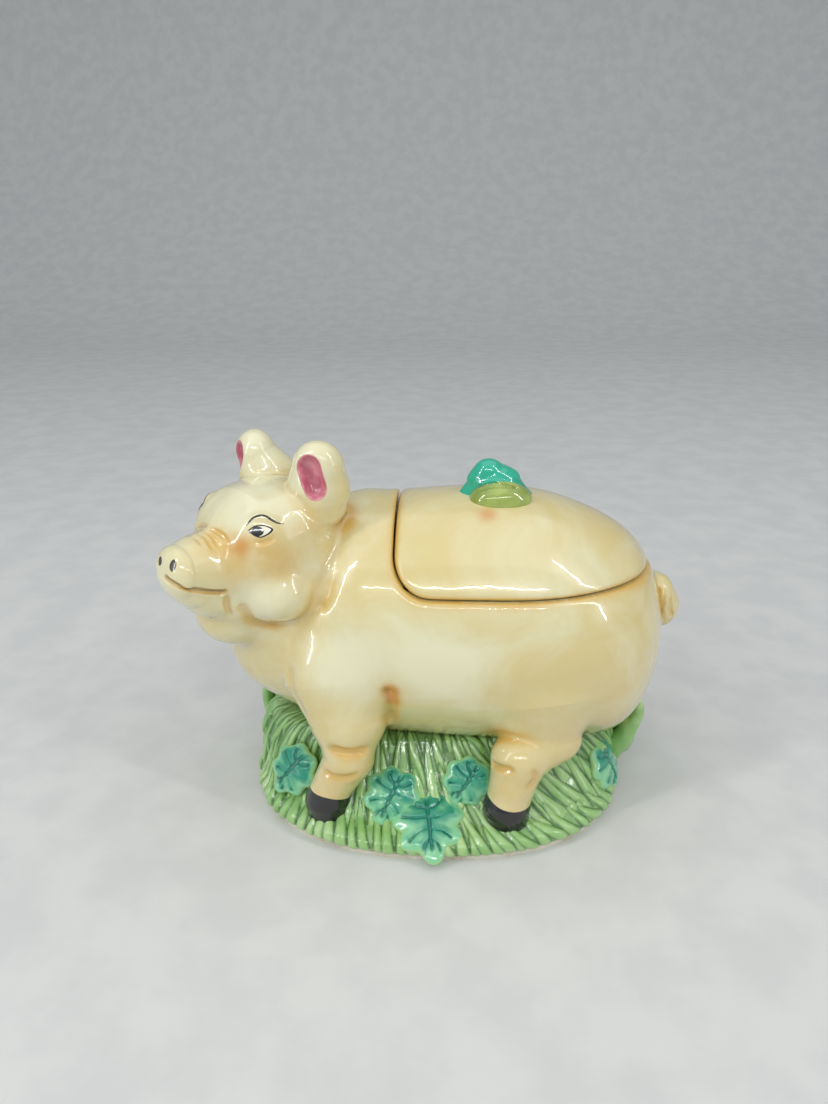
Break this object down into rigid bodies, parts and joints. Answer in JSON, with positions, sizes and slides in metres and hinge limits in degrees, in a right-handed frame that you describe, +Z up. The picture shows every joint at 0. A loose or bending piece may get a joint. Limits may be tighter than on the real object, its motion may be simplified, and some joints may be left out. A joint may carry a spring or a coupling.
{
  "type": "pig-shaped lidded jar",
  "caption": "Glazed ceramic jar in the form of a standing pig on a grassy foot with leaves, with a lift-off back lid and a leaf knob.",
  "frame": {"origin": "on the table under the middle of the jar's outer box", "axes": "+Z up, the pig's head towards -X and its tail towards +X, the side it looks out of towards -Y"},
  "size_m": [0.1754, 0.117, 0.135],
  "materials": {
    "cream_glaze": "gloss",
    "black_glaze": "gloss",
    "grass_glaze": "gloss",
    "leaf_glaze": "gloss",
    "bare_clay": "matte"
  },
  "bodies": {
    "jar": {"jar_body": "cream_glaze", "head": "cream_glaze", "ear_left": "cream_glaze", "ear_right": "cream_glaze", "tail": "cream_glaze", "leg_front_left": "cream_glaze", "leg_front_right": "cream_glaze", "leg_rear_left": "cream_glaze", "leg_rear_right": "cream_glaze", "hoof_front_left": "black_glaze", "hoof_front_right": "black_glaze", "hoof_rear_left": "black_glaze", "hoof_rear_right": "black_glaze", "grass_bank": "grass_glaze", "foot_ring": "bare_clay", "rump_grass": "grass_glaze", "chest_grass": "grass_glaze", "leaf_front_left": "leaf_glaze", "leaf_front_middle": "leaf_glaze", "leaf_front_right": "leaf_glaze", "leaf_front_low": "leaf_glaze", "leaf_tail_end": "leaf_glaze", "leaf_back_left": "leaf_glaze", "leaf_back_right": "leaf_glaze", "leaf_back_low": "leaf_glaze"},
    "lid": {"lid_shell": "cream_glaze", "lid_locating_rim": "cream_glaze", "lid_knob": "leaf_glaze"}
  },
  "joints": [
    {"name": "lid_lift", "type": "slide", "parent": "jar", "child": "lid", "axis": [0, 0, 1], "range_m": [0, 0.08]}
  ]
}
